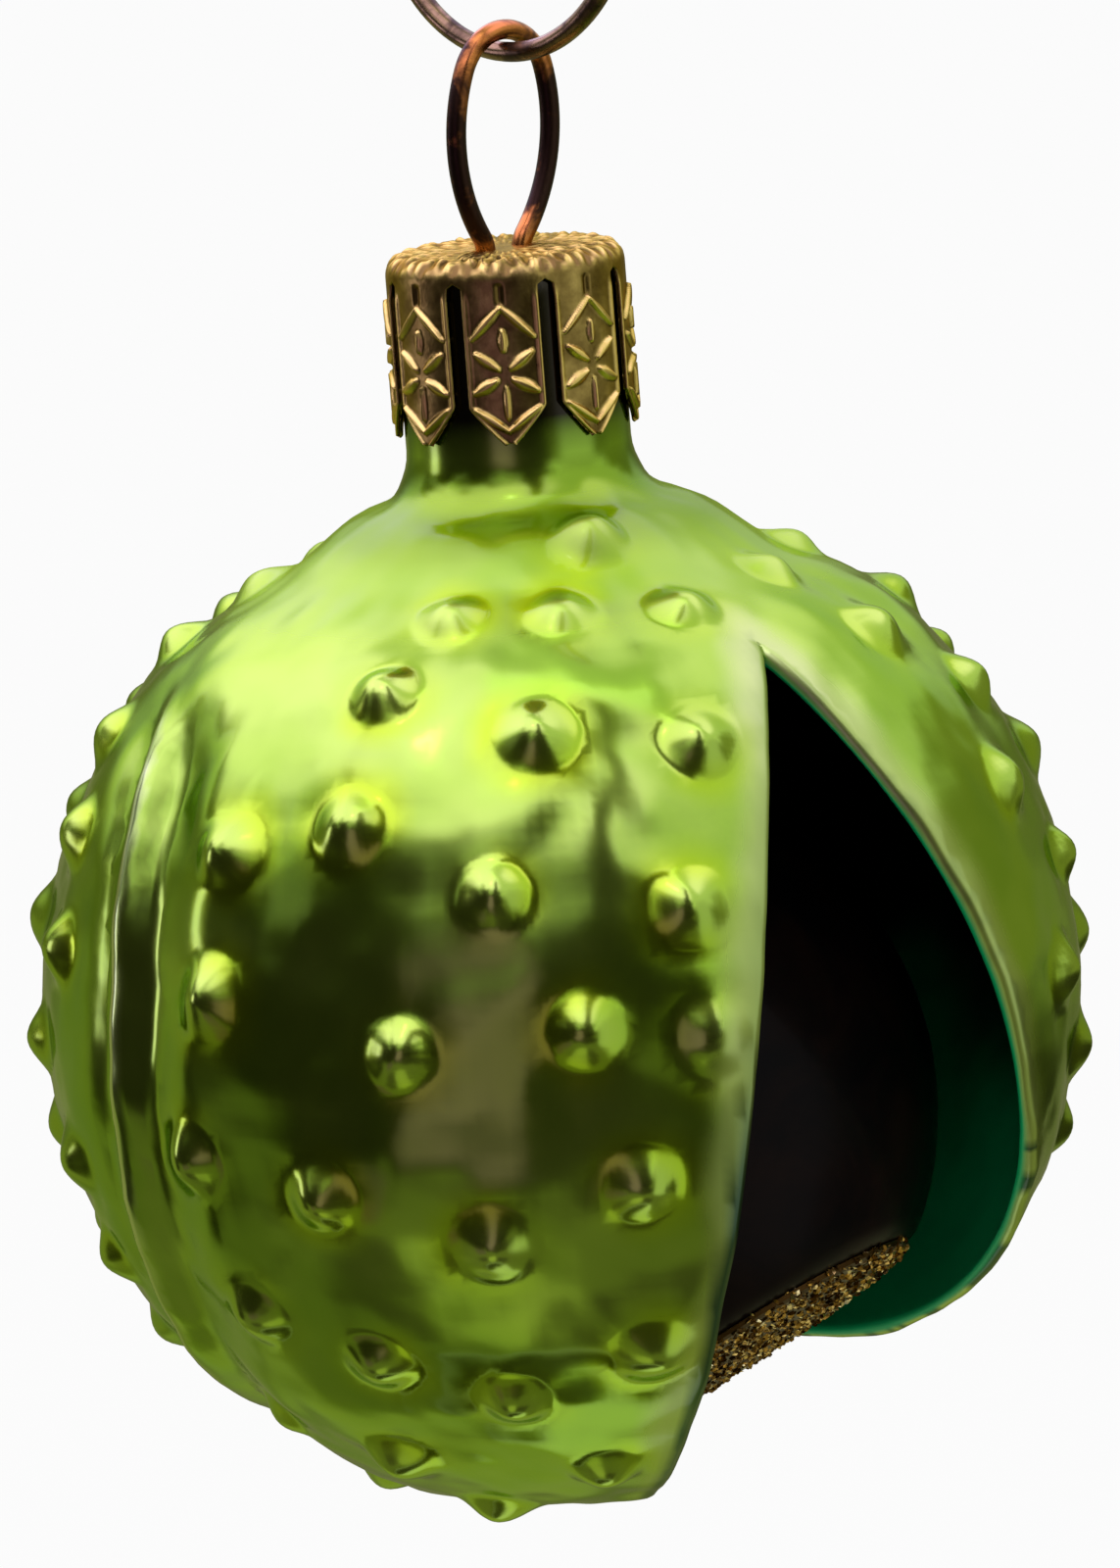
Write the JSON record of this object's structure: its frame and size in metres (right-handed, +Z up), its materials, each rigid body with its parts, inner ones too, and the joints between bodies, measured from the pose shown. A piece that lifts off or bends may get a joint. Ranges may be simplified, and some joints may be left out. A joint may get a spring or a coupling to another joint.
{
  "type": "hanging glass ornament",
  "caption": "Spiked glass horse chestnut ornament: a husk split open on a dark seed, with a pull-off crown cap, wire loop and a ring it swings from.",
  "frame": {"origin": "inside top of the hanging ring, where it bears on a twig or peg", "axes": "+Z up, +X along the peg through the ring and in the plane of the wire loop, +Y in the plane of the ring; the split in the husk faces -Y"},
  "size_m": [0.0535, 0.052, 0.0905],
  "materials": {
    "husk_glass": "silvered glass with glossy yellow-green lacquer",
    "seed_glass": "glossy near-black brown lacquer on glass",
    "glitter": "gold glitter set in clear glue",
    "cap_gold": "bright pale gold stamped sheet",
    "hanger_copper": "bright coppered wire",
    "ring_copper": "bright coppered wire"
  },
  "bodies": {
    "ring": {"hanging_ring": "ring_copper"},
    "hanger": {"crown_cap": "cap_gold", "hanger_wire": "hanger_copper"},
    "glass": {"husk": "husk_glass", "conker": "seed_glass", "conker_scar": "glitter"}
  },
  "joints": [
    {"name": "hang_swing", "type": "hinge", "parent": "ring", "child": "hanger", "pos_m": [0, 0, -0.0165], "axis": [0, 1, 0], "range_deg": [-60, 60]},
    {"name": "cap_pull", "type": "slide", "parent": "hanger", "child": "glass", "axis": [0.0542, -0.0542, -0.9971], "range_m": [0, 0.012]}
  ]
}
